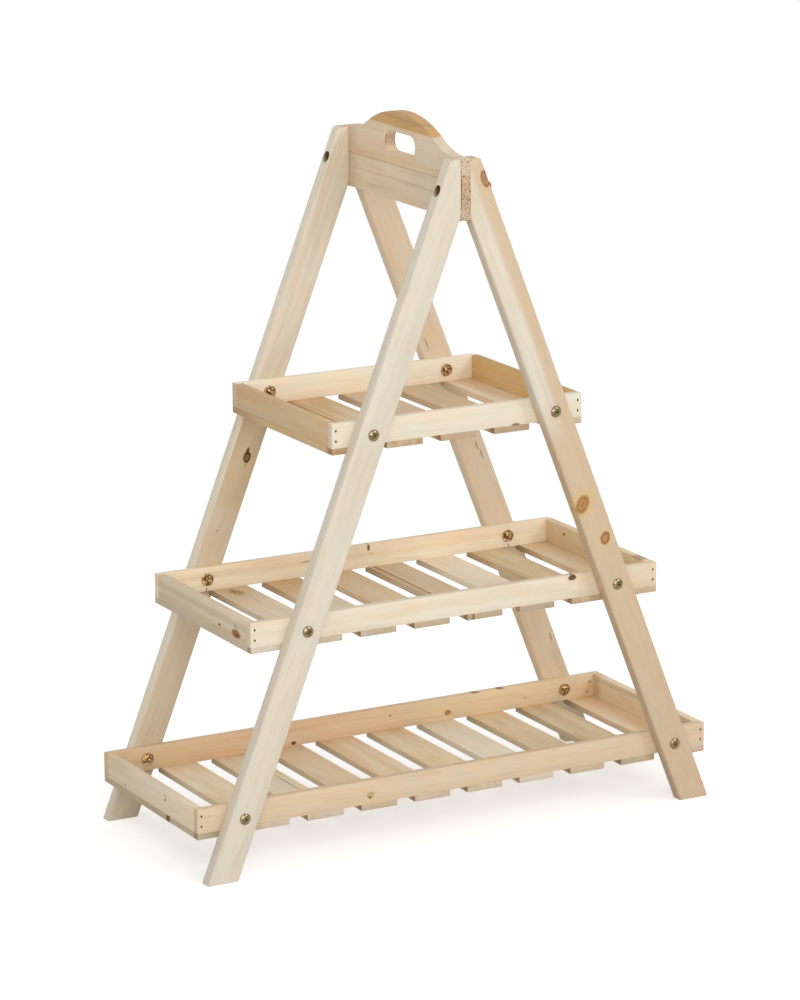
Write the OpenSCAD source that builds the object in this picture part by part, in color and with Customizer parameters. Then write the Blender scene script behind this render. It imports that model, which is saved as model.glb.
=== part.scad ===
// Plant ladder stand: three slatted trays bolted between four leaning legs,
// which meet at the top on the two faces of an upright board with a hand hole.
// Frame: origin on the floor under the middle of the stand, +X along the trays
// to the right, +Y to the back, +Z up. Millimetres.

/* [Legs] */
// Width of a leg, square to its length
leg_w = 42; // [38:1:44]
// Thickness of a leg, from front to back
leg_t = 19; // [18:1:24]
// Lean of each leg from upright, in degrees
leg_lean = 21.5; // [21.2:0.1:21.8]
// Distance between the middles of the left and right feet
foot_spread = 729; // [724:1:734]
// Radius worn on the long edges of a leg
leg_ease = 2.5; // [1:0.5:4]
// Radius of the outer corner at the top of a leg
leg_corner_r = 4; // [2:1:6]

/* [Handle board] */
// Thickness of the handle board, from left to right
board_t = 15; // [12:1:18]
// Height of its lower edge above the floor
board_low = 846; // [840:1:852]
// Height of its two ends, which the legs cover
board_end_h = 81; // [76:1:90]
// Rise of the crown above the ends
crown_rise = 39.5; // [25:0.5:45]
// Radius of the round top of the crown
crown_r = 185; // [150:5:200]
// Length of the flat at each end, before the hollow shoulder starts
shoulder_flat = 13; // [8:1:20]
// Length of the hand hole, from end to end
hole_w = 82; // [70:1:100]
// Height of the hand hole
hole_h = 29; // [24:1:34]
// Height of the hand hole's middle above the board's lower edge
hole_up = 78; // [70:1:85]

/* [Trays] */
// Height of the middle of the bottom tray's rails
bottom_tray_z = 84; // [70:1:100]
// Height of the middle of the middle tray's rails
middle_tray_z = 325; // [310:1:345]
// Height of the middle of the top tray's rails
top_tray_z = 576; // [560:1:590]
// Number of slats in the bottom tray
bottom_slats = 10; // [10:1:11]
// Number of slats in the middle tray
middle_slats = 8; // [7:1:9]
// Number of slats in the top tray
top_slats = 5; // [5:1:6]
// Width of a slat
slat_w = 54; // [50:1:56]
// Gap between two slats
slat_gap = 27; // [25:1:29]
// Thickness of a slat
slat_t = 8.5; // [7:0.5:12]
// Depth of a tray, from the front rail's face to the back rail's face
tray_depth = 288; // [260:1:320]
// Height of the rails and end boards
rail_h = 33; // [30:1:45]
// Thickness of the rails and end boards
rail_t = 11; // [9:1:15]
// Radius worn on the long edges of rails, end boards and slats
tray_ease = 1; // [0.5:0.5:2]

/* [Bolts] */
// Diameter of the bolts
bolt_d = 6; // [5:1:6]
// Clearance of a bolt in its hole, across the diameter
bolt_play = 0.5; // [0.3:0.1:1]
// Length of a tray bolt under its head
tray_bolt_len = 40; // [40:1:50]
// Diameter of a tray bolt's domed head
tray_head_d = 15.5; // [12:0.5:18]
// Height of a domed head
head_h = 3.6; // [3:0.1:5]
// Length of a handle bolt under its head
handle_bolt_len = 70; // [68:1:72]
// Diameter of a handle bolt's head, inside its counterbore
handle_head_d = 12.5; // [10:0.5:13]
// Height of the handle bolts above the board's lower edge
handle_bolt_up = 41; // [38:1:44]
// Diameter of the counterbores for the handle bolts
counterbore_d = 15; // [14:0.5:16]
// Width of the socket in a bolt head, across its flats
socket_af = 4; // [3:0.5:5]
// Depth of that socket
socket_depth = 2.2; // [1.5:0.1:2.5]
// Width of a nut across its flats
nut_af = 10; // [9:1:10]
// Thickness of a nut
nut_h = 5; // [4:0.5:6]
// Diameter of a tray washer
tray_washer_d = 17.5; // [14:0.5:20]
// Diameter of a handle washer
handle_washer_d = 12.5; // [11:0.5:13]
// Thickness of a washer
washer_t = 1.6; // [1:0.1:2]

/* [Nails] */
// Diameter of a nail
nail_d = 1.6; // [1.2:0.1:2]
// Diameter of a nail's head
nail_head_d = 2.8; // [2.2:0.1:4]
// Thickness of a nail's head
nail_head_h = 0.8; // [0.5:0.1:1.2]
// Distance from a tray's end to the nails at its corners
nail_in = 6; // [5:0.5:7]
// Length of the nails at the tray corners
corner_nail_len = 30; // [20:1:35]
// Height between the two nails at a corner
corner_nail_gap = 14; // [10:1:18]
// Length of the nails that hold the slats
slat_nail_len = 24; // [18:1:28]
// Distance between the two nails at a slat's end
slat_nail_gap = 30; // [20:1:36]

/* [Hidden] */
$fn = 48;
big = 1300;     // larger than the stand, for cutting blocks
over = 1;       // how far a cut runs past the face it opens
snug = 0.1;     // clearance round nails and inside nuts, so that solids stay apart
seat_cut = 0.2; // least depth of the flat seats cut into the legs' leaning edges
bolt_out = 1.5; // how far a handle bolt stands out of its nut

tray_names = ["bottom", "middle", "top"];
tray_z = [bottom_tray_z, middle_tray_z, top_tray_z];
slat_count = [bottom_slats, middle_slats, top_slats];
trays = [0, 1, 2];
sides = [-1, 1]; // left and right, or front and back

function left_right(s) = s < 0 ? "left" : "right";
function front_back(f) = f < 0 ? "front" : "back";
function leg_name(s, f) = str(front_back(f), "_", left_right(s), "_leg");
function rail_name(k, f) = str(tray_names[k], "_tray_", front_back(f), "_rail");
function end_name(k, s) = str(tray_names[k], "_tray_", left_right(s), "_end");
function slat_name(k, i) = str(tray_names[k], "_tray_slat_", i);

// Legs: the middle line of a leg starts at the foot and leans inwards
lean_tan = tan(leg_lean);
leg_half = leg_w / 2 / cos(leg_lean); // half its width, measured level
leg_top = board_low + board_end_h;
leg_y = tray_depth / 2 + leg_t / 2;
function leg_x(z) = foot_spread / 2 - z * lean_tan;

// Handle board: the crown's arc and the shoulders' arcs meet at one slope
half_depth = tray_depth / 2 + leg_t;
shoulder_y = half_depth - shoulder_flat;
crown_slope = 2 * atan(crown_rise / shoulder_y);
shoulder_r = shoulder_y / sin(crown_slope) - crown_r;
meet_y = crown_r * sin(crown_slope);
meet_up = crown_rise - crown_r * (1 - cos(crown_slope));
handle_bolt_z = board_low + handle_bolt_up;

// Seats of the handle bolts: the nut's seat is a flat cut into the leaning edge
nut_seat_x = leg_x(handle_bolt_z + counterbore_d / 2) + leg_half - seat_cut;
head_seat_x = handle_bolt_len - nut_seat_x - washer_t - nut_h - bolt_out;

// Trays
slat_pitch = slat_w + slat_gap;
rail_y = tray_depth / 2 - rail_t / 2;
function tray_len(k) = slat_count[k] * slat_pitch - slat_gap;
function slat_x(k, i) = -tray_len(k) / 2 + (i - 1) * slat_pitch + slat_w / 2;
function slat_z(k) = tray_z[k] - rail_h / 2 - slat_t / 2;

// Rectangle with rounded corners, for timber with worn edges
module eased_rect(w, h, r) {
    square([w - 2 * r, h], center = true);
    square([w, h - 2 * r], center = true);
    for (x = sides, y = sides)
        translate([x * (w / 2 - r), y * (h / 2 - r)]) circle(r);
}

// Timber lying along X: its size across Y, then its height
module bar_along_x(length, w, h) {
    rotate([90, 0, 90])
        linear_extrude(length, center = true) eased_rect(w, h, tray_ease);
}

// Timber lying along Y: its size across X, then its height
module bar_along_y(length, w, h) {
    rotate([90, 0, 0])
        linear_extrude(length, center = true) eased_rect(w, h, tray_ease);
}

// What is cut away to round the outer corner at the top of a left leg
module corner_cut() {
    reach = 3 * leg_corner_r;
    z = leg_top - leg_corner_r;
    x = -leg_x(z) - leg_half + leg_corner_r / cos(leg_lean);
    out = reach * [-cos(leg_lean), sin(leg_lean)];
    translate([x, 0, z]) rotate([90, 0, 0])
        linear_extrude(leg_t + 2 * over, center = true) difference() {
            polygon([[0, 0], [0, reach], out + [0, reach], out]);
            circle(leg_corner_r);
        }
}

// A left leg at the middle of its thickness, before its holes
module leg_timber() {
    difference() {
        translate([-foot_spread / 2, 0, 0]) rotate([0, leg_lean, 0])
            translate([0, 0, -leg_w])
                linear_extrude(leg_top / cos(leg_lean) + 2 * leg_w)
                    eased_rect(leg_w, leg_t, leg_ease);
        translate([-big / 2, -big / 2, -big]) cube(big);
        translate([-big / 2, -big / 2, leg_top]) cube(big);
        translate([-board_t / 2, -big / 2, 0]) cube(big);
        corner_cut();
    }
}

// s is -1 for a left leg, 1 for a right one; f is -1 in front, 1 at the back
module leg(s, f) {
    seat_x = s < 0 ? head_seat_x : nut_seat_x;
    color(f < 0 ? "#e6dcc8" : "#d8c5aa")
        translate([0, f * leg_y, 0]) difference() {
            mirror([s > 0 ? 1 : 0, 0, 0]) leg_timber();
            for (z = tray_z)
                translate([s * leg_x(z), 0, z]) rotate([90, 0, 0])
                    cylinder(d = bolt_d + bolt_play, h = leg_t + 2 * over, center = true);
            translate([0, 0, handle_bolt_z]) rotate([0, s * 90, 0]) {
                cylinder(d = bolt_d + bolt_play, h = big);
                translate([0, 0, seat_x]) cylinder(d = counterbore_d, h = big);
            }
        }
}

// Outline of the handle board, seen from its left face
module board_outline() {
    end_top = leg_top;
    translate([-half_depth, board_low]) square([2 * half_depth, board_end_h]);
    intersection() {
        translate([0, end_top + crown_rise - crown_r]) circle(crown_r, $fn = 180);
        translate([-meet_y, end_top - over]) square([2 * meet_y, crown_rise + 2 * over]);
    }
    for (s = sides) difference() {
        translate([s > 0 ? meet_y - over : -shoulder_y, end_top - over])
            square([shoulder_y - meet_y + over, meet_up + over]);
        translate([s * shoulder_y, end_top + shoulder_r]) circle(shoulder_r, $fn = 180);
    }
}

module hand_hole_outline() {
    run = (hole_w - hole_h) / 2;
    translate([0, board_low + hole_up]) {
        square([2 * run, hole_h], center = true);
        for (s = sides) translate([s * run, 0]) circle(d = hole_h);
    }
}

module handle_board() {
    color("#cdbd9f") difference() {
        rotate([90, 0, 90]) linear_extrude(board_t, center = true) difference() {
            board_outline();
            hand_hole_outline();
        }
        for (f = sides)
            translate([0, f * leg_y, handle_bolt_z]) rotate([0, 90, 0])
                cylinder(d = bolt_d + bolt_play, h = board_t + 2 * over, center = true);
    }
}

// Places its children at each nail of a tray's corners, with +Z along the nail
module at_corner_nails(k, f_list, s_list) {
    for (f = f_list, s = s_list, up = sides)
        translate([s * (tray_len(k) / 2 - nail_in), f * tray_depth / 2,
                   tray_z[k] + up * corner_nail_gap / 2])
            rotate([f * 90, 0, 0]) children();
}

// Places its children at each nail of a slat, with +Z along the nail
module at_slat_nails(k, i, f_list) {
    for (f = f_list, s = sides)
        translate([slat_x(k, i) + s * slat_nail_gap / 2, f * rail_y, slat_z(k) - slat_t / 2])
            children();
}

// Places its children at each bolt of a tray, with +Z from the head to the nut
module at_tray_bolts(k, f_list) {
    for (f = f_list, s = sides)
        translate([s * leg_x(tray_z[k]), f * half_depth, tray_z[k]])
            rotate([f * 90, 0, 0]) children();
}

module nail_hole(length) {
    translate([0, 0, -over]) {
        cylinder(d = nail_d + snug, h = length + over + snug, $fn = 16);
        cylinder(d = nail_head_d + snug, h = over + nail_head_h + snug / 2, $fn = 16);
    }
}

module nail(length) {
    cylinder(d = nail_d, h = length, $fn = 16);
    cylinder(d = nail_head_d, h = nail_head_h, $fn = 16);
}

// Front or back rail of tray k
module long_rail(k, f) {
    color(f < 0 ? "#e8dbc0" : "#dfc4a0") difference() {
        translate([0, f * rail_y, tray_z[k]]) bar_along_x(tray_len(k), rail_t, rail_h);
        at_tray_bolts(k, [f]) cylinder(d = bolt_d + bolt_play, h = leg_t + rail_t + over);
        at_corner_nails(k, [f], sides) nail_hole(corner_nail_len);
        for (i = [1:slat_count[k]]) at_slat_nails(k, i, [f]) nail_hole(slat_nail_len);
    }
}

// Left or right end board of tray k, held between its rails
module tray_end(k, s) {
    color("#c9b08a") difference() {
        translate([s * (tray_len(k) / 2 - rail_t / 2), 0, tray_z[k]])
            bar_along_y(tray_depth - 2 * rail_t, rail_t, rail_h);
        at_corner_nails(k, sides, [s]) nail_hole(corner_nail_len);
    }
}

// Slat i of tray k, counted from the left, nailed up into the rails
module slat(k, i) {
    color("#d0b793") difference() {
        translate([slat_x(k, i), 0, slat_z(k)]) bar_along_y(tray_depth, slat_w, slat_t);
        at_slat_nails(k, i, sides) nail_hole(slat_nail_len);
    }
}

// Bolt with a domed head, its shank along +Z from the seat of the head
module bolt(length, head_d) {
    rim = head_h / 4;
    rise = head_h - rim;
    dome_r = (head_d * head_d / 4 + rise * rise) / (2 * rise);
    difference() {
        union() {
            cylinder(d = bolt_d, h = length);
            intersection() {
                translate([0, 0, dome_r - head_h]) sphere(dome_r, $fn = 96);
                translate([0, 0, -head_h]) cylinder(d = head_d, h = head_h);
            }
        }
        translate([0, 0, -head_h - over])
            cylinder(d = socket_af / cos(30), h = socket_depth + over, $fn = 6);
    }
}

module washer(d) {
    difference() {
        cylinder(d = d, h = washer_t);
        translate([0, 0, -over]) cylinder(d = bolt_d + bolt_play, h = washer_t + 2 * over);
    }
}

module nut() {
    difference() {
        cylinder(d = nut_af / cos(30), h = nut_h, $fn = 6);
        translate([0, 0, -over]) cylinder(d = bolt_d + snug, h = nut_h + 2 * over);
    }
}

module tray_bolts() {
    color("#8c8468") for (k = trays) at_tray_bolts(k, sides) bolt(tray_bolt_len, tray_head_d);
}

module tray_washers() {
    color("#a58a5c") for (k = trays) at_tray_bolts(k, sides)
        translate([0, 0, leg_t + rail_t]) washer(tray_washer_d);
}

module tray_nuts() {
    color("#b08a52") for (k = trays) at_tray_bolts(k, sides)
        translate([0, 0, leg_t + rail_t + washer_t]) nut();
}

// Places its children at each handle bolt, with +Z to the right
module at_handle_bolts(x) {
    for (f = sides) translate([x, f * leg_y, handle_bolt_z]) rotate([0, 90, 0]) children();
}

module handle_bolts() {
    color("#8c8468") at_handle_bolts(-head_seat_x) bolt(handle_bolt_len, handle_head_d);
}

module handle_washers() {
    color("#a58a5c") at_handle_bolts(nut_seat_x) washer(handle_washer_d);
}

module handle_nuts() {
    color("#b08a52") at_handle_bolts(nut_seat_x + washer_t) nut();
}

module corner_nails() {
    color("#6b5a45") for (k = trays) at_corner_nails(k, sides, sides) nail(corner_nail_len);
}

module slat_nails() {
    color("#6b5a45") for (k = trays, i = [1:slat_count[k]])
        at_slat_nails(k, i, sides) nail(slat_nail_len);
}

for (f = sides, s = sides)
    leg(s, f);
handle_board();
for (k = trays, f = sides)
    long_rail(k, f);
for (k = trays, s = sides)
    tray_end(k, s);
for (k = trays, i = [1:slat_count[k]])
    slat(k, i);
tray_bolts();
tray_washers();
tray_nuts();
handle_bolts();
handle_washers();
handle_nuts();
corner_nails();
slat_nails();
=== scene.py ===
"""Plant ladder stand in unfinished fir: the looks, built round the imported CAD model."""

import functools
import math
import random

import bmesh
import bpy
from mathutils import Matrix, Vector


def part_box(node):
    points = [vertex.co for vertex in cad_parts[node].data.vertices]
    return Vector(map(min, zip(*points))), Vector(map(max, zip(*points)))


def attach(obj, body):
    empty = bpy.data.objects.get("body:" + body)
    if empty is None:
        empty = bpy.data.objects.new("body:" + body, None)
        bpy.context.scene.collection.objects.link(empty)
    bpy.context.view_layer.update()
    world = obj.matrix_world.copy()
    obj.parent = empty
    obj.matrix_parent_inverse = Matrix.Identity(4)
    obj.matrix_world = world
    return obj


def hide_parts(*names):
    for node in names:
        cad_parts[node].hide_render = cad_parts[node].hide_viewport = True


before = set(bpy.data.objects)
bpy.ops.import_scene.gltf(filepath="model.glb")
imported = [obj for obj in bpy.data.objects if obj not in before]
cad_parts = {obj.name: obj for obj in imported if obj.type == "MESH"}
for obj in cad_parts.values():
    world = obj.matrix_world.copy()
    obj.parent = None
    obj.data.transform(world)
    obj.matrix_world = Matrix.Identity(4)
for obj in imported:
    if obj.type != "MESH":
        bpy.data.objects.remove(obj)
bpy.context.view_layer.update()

bl_info = {
    "name": "Plant Ladder Stand",
    "version": (1, 0, 0),
    "blender": (4, 5, 0),
    "location": "View3D > Sidebar > Plant Stand",
    "description": "Models the legs, handle board and hardware of a fir plant stand and finishes its wood",
    "category": "Add Mesh",
}

MM = 0.001
SPARE = 60 * MM         # how far stock, drills and cutters run past the wood
CLEARANCE = 0.5 * MM    # how much wider a bolt's hole is than the bolt
CORNER_GAP = 14 * MM    # between the two nails at a tray's corner
CORNER_IN = 6 * MM      # from a rail's end to its nails
NAIL_SUNK = 0.5 * MM    # how deep the corner nails' heads sit
SLAT_NAIL_GAP = 30 * MM  # between the two nails at a slat's end
TRAYS = ("bottom", "middle", "top")
LEFT, RIGHT = -1, 1
FRONT, BACK = -1, 1
SIDE_NAMES = {LEFT: "left", RIGHT: "right"}
FACE_NAMES = {FRONT: "front", BACK: "back"}


def linear(code):
    """An sRGB hex colour as the linear red, green and blue that Blender works in."""
    parts = [int(code[i:i + 2], 16) / 255 for i in (1, 3, 5)]
    return tuple(p / 12.92 if p <= 0.04045 else ((p + 0.055) / 1.055) ** 2.4 for p in parts)


# ---------------------------------------------------------------- sizes and colours

def size(name, description, default):
    """A length whose default is given in mm."""
    return bpy.props.FloatProperty(name=name, description=description, default=default * MM,
                                   unit="LENGTH", subtype="DISTANCE", precision=4)


def angle(name, description, default):
    """An angle whose default is given in degrees."""
    return bpy.props.FloatProperty(name=name, description=description, default=math.radians(default),
                                   unit="ROTATION", subtype="ANGLE")


def amount(name, description, default):
    return bpy.props.FloatProperty(name=name, description=description, default=default, min=0)


def tint(name, description, code):
    return bpy.props.FloatVectorProperty(name=name, description=description, size=3, min=0, max=1,
                                         default=linear(code), subtype="COLOR")


def own_fields(group):
    """The names of a group's own settings."""
    return [name for name in group.bl_rna.properties.keys() if name not in ("rna_type", "name")]


class LegSizes(bpy.types.PropertyGroup):
    width: size("Leg width", "Planed width of the leg timber", 42)
    thickness: size("Leg thickness", "Planed thickness of the leg timber", 19)
    lean: angle("Lean", "How far each leg leans from upright", 21.5)
    half_spread: size("Half spread", "From the middle of the stand to a foot's centre line", 364.5)
    ease: size("Eased edge", "Sanded round of the long edges", 2.5)
    end_ease: size("End ease", "Light sanding round the sawn ends", 0.7)
    corner: size("Top corner", "Round of the outer top corner", 4)
    counterbore: size("Counterbore", "Width of the hole that the handle bolt's head sits in", 15)


class HandleSizes(bpy.types.PropertyGroup):
    thickness: size("Board thickness", "Planed thickness of the handle board", 15)
    end_height: size("End height", "Height of the board at its ends", 81)
    crown_radius: size("Crown radius", "Radius of the round top", 185)
    shoulder_flat: size("Shoulder flat", "Flat length at each end before the hollow shoulder", 13)
    hole_width: size("Hand hole width", "Length of the slotted hand hole", 82)
    hole_height: size("Hand hole height", "Height of the slotted hand hole", 29)
    hole_up: size("Hand hole rise", "From the board's lower edge to the middle of the hole", 78)
    ease: size("Eased edge", "Sanded round of every edge of the board", 1.6)


class TraySizes(bpy.types.PropertyGroup):
    ease: size("Eased edge", "Sanded round of the edges of rails, end boards and slats", 0.6)


class HardwareSizes(bpy.types.PropertyGroup):
    bolt: size("Bolt", "Diameter of the bolts' shanks", 6)
    thread_pitch: size("Thread pitch", "From one thread ridge to the next", 1)
    tray_head: size("Tray bolt head", "Width of the domed heads on the legs", 15.5)
    handle_head: size("Handle bolt head", "Width of the domed heads in the counterbores", 12.5)
    head_height: size("Head height", "Height of the domed heads", 3.6)
    socket: size("Socket", "Width across the flats of the heads' hexagon socket", 4)
    socket_depth: size("Socket depth", "Depth of the hexagon socket", 2.2)
    nut: size("Nut", "Width of the nuts across their flats", 10)
    nut_height: size("Nut height", "Height of the nuts", 5)
    tray_washer: size("Tray washer", "Width of the washers inside the trays", 17.5)
    handle_washer: size("Handle washer", "Width of the washers on the handle bolts", 12.5)
    washer_thickness: size("Washer thickness", "Thickness of the washers", 1.6)
    nail_head: size("Nail head", "Width of the corner nails' heads", 2.8)
    nail: size("Nail", "Diameter of the nails", 1.6)


class FirColours(bpy.types.PropertyGroup):
    cream: tint("Cream", "Palest sapwood, as on the front left leg", "#E8DECB")
    ivory: tint("Ivory", "Pale sapwood with a little yellow", "#E9DCC4")
    straw: tint("Straw", "Yellowish sapwood", "#DDCBA9")
    tan: tint("Tan", "Browner wood", "#CBB38F")
    buff: tint("Buff", "Pinkish tan, as low on the front right leg", "#D8BF9F")
    rose: tint("Rose", "Pale pinkish sapwood", "#DFCAAE")
    peach: tint("Peach", "Pinkish wood next to the heartwood", "#E0C4A3")
    salmon: tint("Salmon", "Orange pink streaks", "#DAB08A")
    honey: tint("Honey", "Orange heartwood", "#CC9F62")
    olive: tint("Olive", "Greenish grey sapwood", "#BDAD86")
    grey: tint("Grey", "Cool grey sapwood", "#D8CCB8")
    late: tint("Late wood", "The dark line of each year ring", "#A98A62")
    amber: tint("Amber", "Resin yellow round a knot", "#D8B67C")
    knot_light: tint("Light knot ring", "Light rings inside a live knot", "#C39759")
    knot: tint("Knot", "Dark rings inside a live knot", "#946030")
    ruddy: tint("Ruddy knot", "Light rings inside a reddish knot", "#9A5F35")
    knot_red: tint("Red knot", "Dark rings inside a reddish knot", "#5E3620")
    # Bark also paints shade round the corner nails and in the bores
    bark: tint("Bark", "Rim of a dead knot, and pitch marks", "#452C12")
    # The rough side colour also paints shade on rough sides and on a leg's narrow face
    shade: tint("Rough side", "Rough sawn narrow sides", "#86602F")


class HardwareColours(bpy.types.PropertyGroup):
    zinc: tint("Zinc", "Yellow zinc plating on the bolts", "#9E8C6C")
    brass: tint("Brassy zinc", "Yellower patches of the plating", "#766944")
    gold: tint("Golden zinc", "Yellow plating on nuts and washers", "#F0D6A6")
    copper: tint("Coppery zinc", "Reddish patches of the plating on nuts and washers", "#84542F")
    # Oil shade darkens oily scratches and is painted shade in the grooves, threads, sockets and rims
    shade: tint("Oil shade", "Dark oil film in the grooves, threads and sockets", "#241A12")
    nail: tint("Nail", "Dull steel of the brads", "#4A4036")


class StudioSettings(bpy.types.PropertyGroup):
    azimuth: angle("Camera azimuth", "From straight in front, to the right", -28.738)
    elevation: angle("Camera elevation", "Above level", 14.264)
    roll: angle("Camera roll", "Turn about the line of sight", -0.235)
    distance: size("Camera distance", "From the point looked at", 5681)
    aim: bpy.props.FloatVectorProperty(name="Point looked at", description="Middle of the picture",
                                       default=(-9.69 * MM, 0, 437.5 * MM), unit="LENGTH", subtype="XYZ")
    lens: amount("Lens", "Focal length in millimetres", 151.13)
    ambient: amount("Ambient", "Strength of the even light all round", 0.70)
    key: amount("Key light", "Power of the large front light in watts", 190)
    fill: amount("Fill light", "Power of the high right light in watts", 82)
    floor: tint("Floor", "Pale studio floor", "#D4D4D2")


# ---------------------------------------------------------------- materials

# Settings that many nodes share: a step without hard ends, and a mix of two colours
SMOOTH = {"interpolation_type": "SMOOTHSTEP"}
COLOURS = {"data_type": "RGBA"}


def add_node(tree, kind, *feeds, out=None, **more):
    """Adds one node and gives back its first outlet, or the one named.

    Feeds go in order to the sockets that the node's settings leave in use. A word with a capital names
    a socket, and any other is a setting of the node.
    """
    new = tree.nodes.new("ShaderNode" + kind)
    named = {word: value for word, value in more.items() if word[0].isupper()}
    for word, value in more.items():
        if word not in named:
            setattr(new, word, value)
    fed = list(zip([socket for socket in new.inputs if socket.enabled], feeds))
    fed += [(new.inputs[word.replace("_", " ")], value) for word, value in named.items()]
    for socket, feed in fed:
        if isinstance(feed, bpy.types.NodeSocket):
            tree.links.new(feed, socket)
        else:
            socket.default_value = feed
    outlets = [socket for socket in new.outputs if socket.enabled and out in (None, socket.name)]
    return outlets[0] if outlets else new


def begin_material(name):
    """A new, empty material, and the function that adds nodes to it."""
    material = bpy.data.materials.new(name)
    material.use_nodes = True
    material.node_tree.nodes.clear()
    return material, functools.partial(add_node, material.node_tree)


def streaks(add, where, across, along, detail=2.0, rough=0.5):
    """Noise drawn out along the grain; across and along are the size of one streak in mm."""
    drawn = add("VectorMath", where, (1 / across, 1 / across, 1 / along), operation="MULTIPLY")
    return add("TexNoise", Vector=drawn, Scale=1.0, Detail=detail, Roughness=rough)


def lies(kind):
    """How a board lies in the stand: rows are the directions of its width, thickness and length."""
    lean = bpy.context.scene.leg_sizes.lean
    c, s = math.cos(lean), math.sin(lean)
    return {
        "right_leg": Matrix(((c, 0, s), (0, 1, 0), (-s, 0, c))),
        "left_leg": Matrix(((-c, 0, s), (0, -1, 0), (s, 0, c))),
        "rail": Matrix(((0, 0, 1), (0, -1, 0), (1, 0, 0))),
        "end": Matrix(((0, 0, 1), (1, 0, 0), (0, 1, 0))),
        "slat": Matrix(((1, 0, 0), (0, 0, -1), (0, 1, 0))),
    }[kind]


# What a board looks like where its own entry doesn't say. Lengths are in mm.
PLAIN_BOARD = {
    "base": "ivory",        # main colour
    "blend": "straw",       # colour of its broad streaks
    "streaky": 0.5,         # how much of the broad streaks shows
    "bands": [],            # (colour, middle across, half width, strength, softness, slope) of stripes
    "turns": [],            # (colour, from, to, strength) of colour that comes in along the board
    "lines": 0.3,           # strength of the year rings' dark lines
    "ring": 7.0,            # width of one year ring
    "pith": (30, 45),       # where the middle of the tree is, across the width and the thickness
    "tilt": (0.02, 0.05),   # how far the pith line leaves the board's length
    "wander": 9.0,          # how far the rings wave
    "light": 1.0,           # how light this board is against the palette; above 1 it is partly painted light, lifting boards that lie in shade inside the trays
    "hues": 1.0,            # how much warmer and cooler its clouds are
    "knots": [],            # (across, along, half width, half length, sort, lean in degrees)
    "marks": [],            # (across, along, half width, half length, strength) of dark slots and specks, and of painted shade round the corner nails
    "pores": 0.1,           # how strongly the end grain is speckled
    "closed": 0,            # half length of the middle of the board, where end grain has no specks and gets painted shade, as in the hand hole
    "end_tone": (0.93, 0.88, 0.84),  # how much darker the end grain is
    "end_bands": [],        # stripes that show on the end grain alone
    "sides": None,          # (from, to, strength there) of rough narrow sides, darker wood with painted shade that deepens along the board
    "seed": 0,
}
# A knot's heart, its other rings and its rim; strengths of the rim and of the warm wood round it;
# how many rings it has; how soft its edge is
KNOT_SORTS = {
    "live": ("knot_light", "knot", "knot", 0.5, 0.85, 4.3, 0.15),
    "rosy": ("ruddy", "knot_light", "ruddy", 0.95, 0.3, 3.2, 0.18),
    "dull": ("knot", "late", "ruddy", 0.7, 0.2, 1.7, 0.25),
    "faded": ("late", "amber", "late", 0.5, 0.6, 2.6, 0.6),
    "red": ("knot", "ruddy", "knot_red", 0.55, 0.4, 1.2, 0.45),
    "dark": ("knot_red", "bark", "bark", 0.8, 0.4, 2.4, 0.2),
    "dead": ("bark", "shade", "bark", 0.95, 0.5, 2.2, 0.18),
}
# Early wood stays pale and darkens to a soft line, then the next ring starts pale again
RING_STOPS = ((0.16, 0.0), (0.5, 0.15), (0.82, 1.0), (0.92, 0.8))
RING_JOIN = 0.3         # how dark the line still is where one ring ends and the next starts
WARM, COOL = (0.02, -0.035, -0.085), (-0.03, 0.0, 0.015)
RAIL_SHADOW_ON_SIDES = (-124, -136, 0.75)  # from, to and strength of the painted shadow of the front rail on the front end of rough sides


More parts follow.
